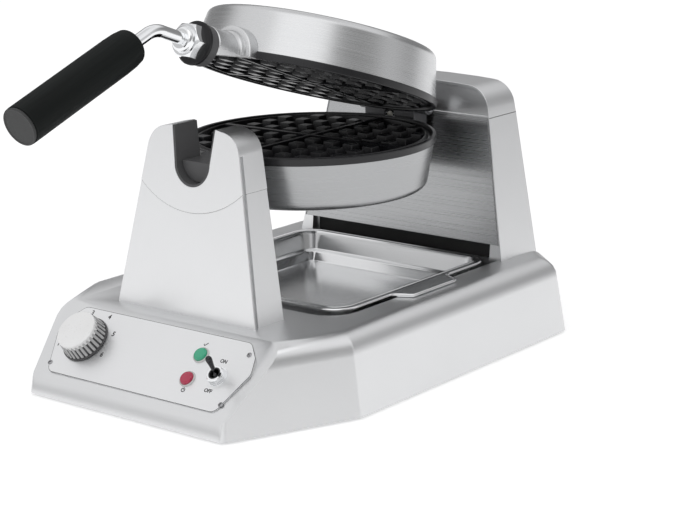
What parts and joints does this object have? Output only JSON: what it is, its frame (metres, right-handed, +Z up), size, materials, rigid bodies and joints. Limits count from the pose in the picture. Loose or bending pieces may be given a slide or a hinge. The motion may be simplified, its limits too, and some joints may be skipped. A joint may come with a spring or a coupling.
{
  "type": "rotary waffle maker",
  "caption": "Counter-top rotary waffle maker: two hinged round grid irons turn together between two towers on a wide base with a tilted control panel and a drip tray.",
  "frame": {"origin": "on the bench, under the middle of the whole machine's bounding box at rest", "axes": "+X to the machine's right seen from the front, +Y to the back, +Z up; the turning axis of the irons runs along Y"},
  "size_m": [0.283, 0.49, 0.2815],
  "materials": {
    "satin_casting": "satin, fine brushed",
    "brushed_sheet": "brushed stainless",
    "iron_housing": "satin, drawn, circular brushing",
    "nonstick": "black non-stick coating, semi-gloss",
    "panel_plate": "anodised, fine grain",
    "plated_screw": "plated",
    "chrome": "polished chrome",
    "dark_bearing": "dark grey bearing plastic",
    "black_grip": "black phenolic with fine texture",
    "rubber_foot": "black rubber",
    "white_knob": "pale moulded plastic",
    "green_lens": "translucent green lens",
    "red_lens": "translucent red lens",
    "bottom_sheet": "galvanised sheet",
    "cast_bracket": "machined casting",
    "bronze_bush": "sintered bronze",
    "ceramic": "moulded ceramic and mica",
    "switch_black": "black moulding",
    "heater_tube": "oxidised steel sheath",
    "wool_board": "mineral fibre board",
    "tray_steel": "bright drawn stainless",
    "journal_casting": "cast and machined"
  },
  "bodies": {
    "base": {"base_housing": "satin_casting", "base_bottom_plate": "bottom_sheet", "base_feet": "rubber_foot", "bottom_plate_screws": "plated_screw", "control_panel": "panel_plate", "panel_screws": "plated_screw", "thermostat_body": "ceramic", "switch_body": "switch_black", "switch_nut": "chrome", "ready_lamp": "green_lens", "power_lamp": "red_lens", "cable_gland": "switch_black", "terminal_block": "ceramic", "front_tower": "satin_casting", "front_tower_cap": "satin_casting", "notch_liner": "dark_bearing", "rear_tower": "satin_casting", "rear_tower_sheet": "brushed_sheet", "rear_tower_cap": "satin_casting", "rear_bearing_block": "cast_bracket", "rear_bearing_bush": "bronze_bush"},
    "lower_iron": {"lower_housing": "iron_housing", "lower_grid_plate": "nonstick", "lower_heater": "heater_tube", "lower_insulation": "wool_board", "lower_journal": "dark_bearing", "hinge_bracket": "cast_bracket", "rear_trunnion": "chrome", "trunnion_lead_sleeve": "ceramic", "hinge_pin": "chrome"},
    "lid": {"upper_housing": "iron_housing", "upper_grid_plate": "nonstick", "upper_heater": "heater_tube", "upper_insulation": "wool_board", "lid_hinge_ears": "cast_bracket", "upper_journal": "journal_casting", "handle_collar": "dark_bearing", "handle_nut": "chrome", "handle_rod": "chrome", "handle_grip": "black_grip", "grip_end_cap": "black_grip"},
    "knob": {"control_knob": "white_knob"},
    "switch": {"switch_lever": "chrome"},
    "tray": {"drip_tray": "tray_steel"}
  },
  "joints": [
    {"name": "iron_turn", "type": "hinge", "parent": "base", "child": "lower_iron", "pos_m": [0, 0.05938, 0.1737], "axis": [0, -1, 0], "range_deg": [-90, 0]},
    {"name": "lid_hinge", "type": "hinge", "parent": "lower_iron", "child": "lid", "pos_m": [0, 0.16938, 0.183], "axis": [-1, 0, 0], "range_deg": [-20.3, 60]},
    {"name": "knob_turn", "type": "hinge", "parent": "base", "child": "knob", "pos_m": [-0.0655, -0.12868, 0.04048], "axis": [0, 0.6744, -0.7384], "range_deg": [0, 220]},
    {"name": "switch_toggle", "type": "hinge", "parent": "base", "child": "switch", "pos_m": [0.0705, -0.13403, 0.03966], "axis": [1, 0, 0], "range_deg": [0, 30]},
    {"name": "tray_lift", "type": "slide", "parent": "base", "child": "tray", "axis": [0, 0, 1], "range_m": [0, 0.045]}
  ]
}
